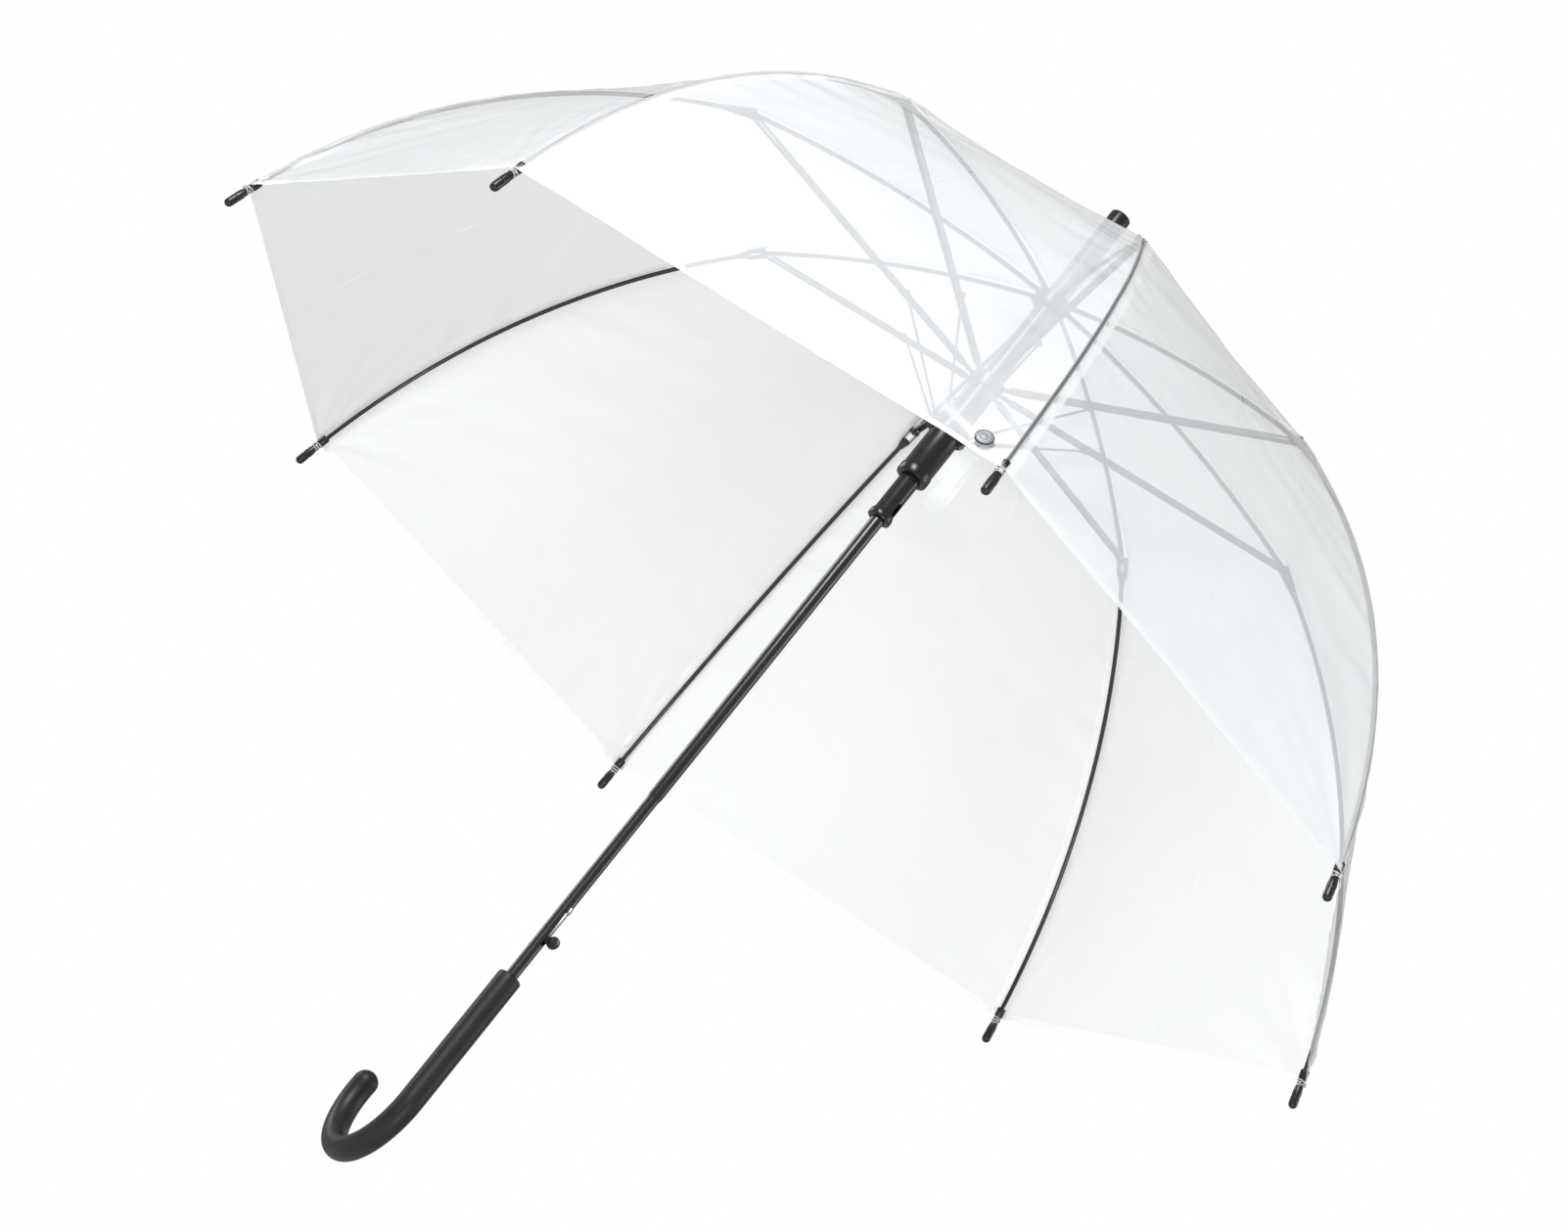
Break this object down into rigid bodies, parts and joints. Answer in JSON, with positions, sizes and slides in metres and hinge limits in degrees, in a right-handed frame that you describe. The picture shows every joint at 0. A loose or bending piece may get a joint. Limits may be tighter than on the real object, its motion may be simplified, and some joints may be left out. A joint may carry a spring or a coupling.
{
  "type": "bubble umbrella",
  "caption": "Clear dome umbrella with crook handle: film canopy on hinged ribs, stretchers and links, spring-driven runners and thumb catch.",
  "frame": {"origin": "on the shaft's axis, halfway down the straight grip", "axes": "+Z along the shaft towards the top cap, +X towards rib_1; the umbrella stands open and upright with the crook below"},
  "size_m": [0.9152, 0.9152, 0.8333],
  "materials": {
    "black_steel": "gloss black paint",
    "black_plastic": "moulded, semi-gloss",
    "satin_grip": "satin black, fine moulded texture",
    "spring_steel": "bright drawn wire",
    "clear_film": "clear soft film, welded"
  },
  "bodies": {
    "frame": {"shaft": "black_steel", "handle": "satin_grip", "top_cap": "black_plastic", "top_notch": "black_plastic", "stop_sleeve": "black_plastic"},
    "rib_1": {"upper_rib_1": "black_steel", "canopy_gore_1": "clear_film"},
    "lower_1": {"lower_rib_1": "black_steel", "rib_tip_1": "black_plastic"},
    "stretcher_1": {"stretcher_1": "black_steel"},
    "link_1": {"link_1": "black_steel"},
    "rib_2": {"upper_rib_2": "black_steel", "canopy_gore_2": "clear_film"},
    "lower_2": {"lower_rib_2": "black_steel", "rib_tip_2": "black_plastic"},
    "stretcher_2": {"stretcher_2": "black_steel"},
    "link_2": {"link_2": "black_steel"},
    "rib_3": {"upper_rib_3": "black_steel", "canopy_gore_3": "clear_film"},
    "lower_3": {"lower_rib_3": "black_steel", "rib_tip_3": "black_plastic", "snap_button": "black_plastic", "tie_strap": "clear_film"},
    "stretcher_3": {"stretcher_3": "black_steel"},
    "link_3": {"link_3": "black_steel"},
    "rib_4": {"upper_rib_4": "black_steel", "canopy_gore_4": "clear_film"},
    "lower_4": {"lower_rib_4": "black_steel", "rib_tip_4": "black_plastic"},
    "stretcher_4": {"stretcher_4": "black_steel"},
    "link_4": {"link_4": "black_steel"},
    "rib_5": {"upper_rib_5": "black_steel", "canopy_gore_5": "clear_film"},
    "lower_5": {"lower_rib_5": "black_steel", "rib_tip_5": "black_plastic"},
    "stretcher_5": {"stretcher_5": "black_steel"},
    "link_5": {"link_5": "black_steel"},
    "rib_6": {"upper_rib_6": "black_steel", "canopy_gore_6": "clear_film"},
    "lower_6": {"lower_rib_6": "black_steel", "rib_tip_6": "black_plastic"},
    "stretcher_6": {"stretcher_6": "black_steel"},
    "link_6": {"link_6": "black_steel"},
    "rib_7": {"upper_rib_7": "black_steel", "canopy_gore_7": "clear_film"},
    "lower_7": {"lower_rib_7": "black_steel", "rib_tip_7": "black_plastic"},
    "stretcher_7": {"stretcher_7": "black_steel"},
    "link_7": {"link_7": "black_steel"},
    "rib_8": {"upper_rib_8": "black_steel", "canopy_gore_8": "clear_film"},
    "lower_8": {"lower_rib_8": "black_steel", "rib_tip_8": "black_plastic"},
    "stretcher_8": {"stretcher_8": "black_steel"},
    "link_8": {"link_8": "black_steel"},
    "inner_runner": {"inner_runner": "black_plastic", "spring_cover": "black_plastic", "main_spring": "spring_steel"},
    "link_runner": {"link_runner": "black_plastic"},
    "release_button": {"release_button": "black_plastic"}
  },
  "joints": [
    {"name": "canopy_fold", "type": "hinge", "parent": "frame", "child": "rib_1", "pos_m": [0.0104, 0, 0.654], "axis": [0, 1, 0], "range_deg": [0, 72.19], "stiffness_Nm_per_rad": 5, "springref_deg": -24.81, "deforming": ["canopy_gore_1", "canopy_gore_2", "canopy_gore_3", "canopy_gore_4", "canopy_gore_5", "canopy_gore_6", "canopy_gore_7", "canopy_gore_8", "main_spring", "tie_strap", "snap_button"]},
    {"name": "rib_bend_1", "type": "hinge", "parent": "rib_1", "child": "lower_1", "pos_m": [0.236, 0, 0.615], "axis": [0, 1, 0], "range_deg": [-32.75, 0]},
    {"name": "stretcher_fold_1", "type": "hinge", "parent": "rib_1", "child": "stretcher_1", "pos_m": [0.236, 0, 0.615], "axis": [0, 1, 0], "range_deg": [-144.39, 0]},
    {"name": "link_fold_1", "type": "hinge", "parent": "stretcher_1", "child": "link_1", "pos_m": [0.08036, 0, 0.58809], "axis": [0, 1, 0], "range_deg": [0, 26.37]},
    {"name": "rib_fold_2", "type": "hinge", "parent": "frame", "child": "rib_2", "pos_m": [0.00735, 0.00735, 0.654], "axis": [-0.7071, 0.7071, 0], "range_deg": [0, 72.19]},
    {"name": "rib_bend_2", "type": "hinge", "parent": "rib_2", "child": "lower_2", "pos_m": [0.16688, 0.16688, 0.615], "axis": [-0.7071, 0.7071, 0], "range_deg": [-32.75, 0]},
    {"name": "stretcher_fold_2", "type": "hinge", "parent": "rib_2", "child": "stretcher_2", "pos_m": [0.16688, 0.16688, 0.615], "axis": [-0.7071, 0.7071, 0], "range_deg": [-144.39, 0]},
    {"name": "link_fold_2", "type": "hinge", "parent": "stretcher_2", "child": "link_2", "pos_m": [0.05682, 0.05682, 0.58809], "axis": [-0.7071, 0.7071, 0], "range_deg": [0, 26.37]},
    {"name": "rib_fold_3", "type": "hinge", "parent": "frame", "child": "rib_3", "pos_m": [0, 0.0104, 0.654], "axis": [-1, 0, 0], "range_deg": [0, 72.19]},
    {"name": "rib_bend_3", "type": "hinge", "parent": "rib_3", "child": "lower_3", "pos_m": [0, 0.236, 0.615], "axis": [-1, 0, 0], "range_deg": [-32.75, 0]},
    {"name": "stretcher_fold_3", "type": "hinge", "parent": "rib_3", "child": "stretcher_3", "pos_m": [0, 0.236, 0.615], "axis": [-1, 0, 0], "range_deg": [-144.39, 0]},
    {"name": "link_fold_3", "type": "hinge", "parent": "stretcher_3", "child": "link_3", "pos_m": [0, 0.08036, 0.58809], "axis": [-1, 0, 0], "range_deg": [0, 26.37]},
    {"name": "rib_fold_4", "type": "hinge", "parent": "frame", "child": "rib_4", "pos_m": [-0.00735, 0.00735, 0.654], "axis": [-0.7071, -0.7071, 0], "range_deg": [0, 72.19]},
    {"name": "rib_bend_4", "type": "hinge", "parent": "rib_4", "child": "lower_4", "pos_m": [-0.16688, 0.16688, 0.615], "axis": [-0.7071, -0.7071, 0], "range_deg": [-32.75, 0]},
    {"name": "stretcher_fold_4", "type": "hinge", "parent": "rib_4", "child": "stretcher_4", "pos_m": [-0.16688, 0.16688, 0.615], "axis": [-0.7071, -0.7071, 0], "range_deg": [-144.39, 0]},
    {"name": "link_fold_4", "type": "hinge", "parent": "stretcher_4", "child": "link_4", "pos_m": [-0.05682, 0.05682, 0.58809], "axis": [-0.7071, -0.7071, 0], "range_deg": [0, 26.37]},
    {"name": "rib_fold_5", "type": "hinge", "parent": "frame", "child": "rib_5", "pos_m": [-0.0104, 0, 0.654], "axis": [0, -1, 0], "range_deg": [0, 72.19]},
    {"name": "rib_bend_5", "type": "hinge", "parent": "rib_5", "child": "lower_5", "pos_m": [-0.236, 0, 0.615], "axis": [0, -1, 0], "range_deg": [-32.75, 0]},
    {"name": "stretcher_fold_5", "type": "hinge", "parent": "rib_5", "child": "stretcher_5", "pos_m": [-0.236, 0, 0.615], "axis": [0, -1, 0], "range_deg": [-144.39, 0]},
    {"name": "link_fold_5", "type": "hinge", "parent": "stretcher_5", "child": "link_5", "pos_m": [-0.08036, 0, 0.58809], "axis": [0, -1, 0], "range_deg": [0, 26.37]},
    {"name": "rib_fold_6", "type": "hinge", "parent": "frame", "child": "rib_6", "pos_m": [-0.00735, -0.00735, 0.654], "axis": [0.7071, -0.7071, 0], "range_deg": [0, 72.19]},
    {"name": "rib_bend_6", "type": "hinge", "parent": "rib_6", "child": "lower_6", "pos_m": [-0.16688, -0.16688, 0.615], "axis": [0.7071, -0.7071, 0], "range_deg": [-32.75, 0]},
    {"name": "stretcher_fold_6", "type": "hinge", "parent": "rib_6", "child": "stretcher_6", "pos_m": [-0.16688, -0.16688, 0.615], "axis": [0.7071, -0.7071, 0], "range_deg": [-144.39, 0]},
    {"name": "link_fold_6", "type": "hinge", "parent": "stretcher_6", "child": "link_6", "pos_m": [-0.05682, -0.05682, 0.58809], "axis": [0.7071, -0.7071, 0], "range_deg": [0, 26.37]},
    {"name": "rib_fold_7", "type": "hinge", "parent": "frame", "child": "rib_7", "pos_m": [0, -0.0104, 0.654], "axis": [1, 0, 0], "range_deg": [0, 72.19]},
    {"name": "rib_bend_7", "type": "hinge", "parent": "rib_7", "child": "lower_7", "pos_m": [0, -0.236, 0.615], "axis": [1, 0, 0], "range_deg": [-32.75, 0]},
    {"name": "stretcher_fold_7", "type": "hinge", "parent": "rib_7", "child": "stretcher_7", "pos_m": [0, -0.236, 0.615], "axis": [1, 0, 0], "range_deg": [-144.39, 0]},
    {"name": "link_fold_7", "type": "hinge", "parent": "stretcher_7", "child": "link_7", "pos_m": [0, -0.08036, 0.58809], "axis": [1, 0, 0], "range_deg": [0, 26.37]},
    {"name": "rib_fold_8", "type": "hinge", "parent": "frame", "child": "rib_8", "pos_m": [0.00735, -0.00735, 0.654], "axis": [0.7071, 0.7071, 0], "range_deg": [0, 72.19]},
    {"name": "rib_bend_8", "type": "hinge", "parent": "rib_8", "child": "lower_8", "pos_m": [0.16688, -0.16688, 0.615], "axis": [0.7071, 0.7071, 0], "range_deg": [-32.75, 0]},
    {"name": "stretcher_fold_8", "type": "hinge", "parent": "rib_8", "child": "stretcher_8", "pos_m": [0.16688, -0.16688, 0.615], "axis": [0.7071, 0.7071, 0], "range_deg": [-144.39, 0]},
    {"name": "link_fold_8", "type": "hinge", "parent": "stretcher_8", "child": "link_8", "pos_m": [0.05682, -0.05682, 0.58809], "axis": [0.7071, 0.7071, 0], "range_deg": [0, 26.37]},
    {"name": "runner_fold", "type": "hinge", "parent": "stretcher_1", "child": "inner_runner", "pos_m": [0.0104, 0, 0.576], "axis": [0, 1, 0], "range_deg": [0, 72.19]},
    {"name": "link_runner_slide", "type": "slide", "parent": "inner_runner", "child": "link_runner", "axis": [0, 0, 1], "range_m": [0, 0.02626]},
    {"name": "button_press", "type": "slide", "parent": "frame", "child": "release_button", "axis": [0.766, -0.6428, 0], "range_m": [0, 0.0045], "stiffness_N_per_m": 400, "springref_m": -0.0002}
  ],
  "couplings": [
    {"joint": "rib_bend_1", "follows": "canopy_fold", "ratio": -0.45366},
    {"joint": "stretcher_fold_1", "follows": "canopy_fold", "ratio": -2},
    {"joint": "link_fold_1", "follows": "canopy_fold", "ratio": 0.36529},
    {"joint": "rib_fold_2", "follows": "canopy_fold", "ratio": 1},
    {"joint": "rib_bend_2", "follows": "canopy_fold", "ratio": -0.45366},
    {"joint": "stretcher_fold_2", "follows": "canopy_fold", "ratio": -2},
    {"joint": "link_fold_2", "follows": "canopy_fold", "ratio": 0.36529},
    {"joint": "rib_fold_3", "follows": "canopy_fold", "ratio": 1},
    {"joint": "rib_bend_3", "follows": "canopy_fold", "ratio": -0.45366},
    {"joint": "stretcher_fold_3", "follows": "canopy_fold", "ratio": -2},
    {"joint": "link_fold_3", "follows": "canopy_fold", "ratio": 0.36529},
    {"joint": "rib_fold_4", "follows": "canopy_fold", "ratio": 1},
    {"joint": "rib_bend_4", "follows": "canopy_fold", "ratio": -0.45366},
    {"joint": "stretcher_fold_4", "follows": "canopy_fold", "ratio": -2},
    {"joint": "link_fold_4", "follows": "canopy_fold", "ratio": 0.36529},
    {"joint": "rib_fold_5", "follows": "canopy_fold", "ratio": 1},
    {"joint": "rib_bend_5", "follows": "canopy_fold", "ratio": -0.45366},
    {"joint": "stretcher_fold_5", "follows": "canopy_fold", "ratio": -2},
    {"joint": "link_fold_5", "follows": "canopy_fold", "ratio": 0.36529},
    {"joint": "rib_fold_6", "follows": "canopy_fold", "ratio": 1},
    {"joint": "rib_bend_6", "follows": "canopy_fold", "ratio": -0.45366},
    {"joint": "stretcher_fold_6", "follows": "canopy_fold", "ratio": -2},
    {"joint": "link_fold_6", "follows": "canopy_fold", "ratio": 0.36529},
    {"joint": "rib_fold_7", "follows": "canopy_fold", "ratio": 1},
    {"joint": "rib_bend_7", "follows": "canopy_fold", "ratio": -0.45366},
    {"joint": "stretcher_fold_7", "follows": "canopy_fold", "ratio": -2},
    {"joint": "link_fold_7", "follows": "canopy_fold", "ratio": 0.36529},
    {"joint": "rib_fold_8", "follows": "canopy_fold", "ratio": 1},
    {"joint": "rib_bend_8", "follows": "canopy_fold", "ratio": -0.45366},
    {"joint": "stretcher_fold_8", "follows": "canopy_fold", "ratio": -2},
    {"joint": "link_fold_8", "follows": "canopy_fold", "ratio": 0.36529},
    {"joint": "runner_fold", "follows": "canopy_fold", "ratio": 1},
    {"joint": "link_runner_slide", "follows": "canopy_fold", "m_per_rad": 0.02083}
  ]
}
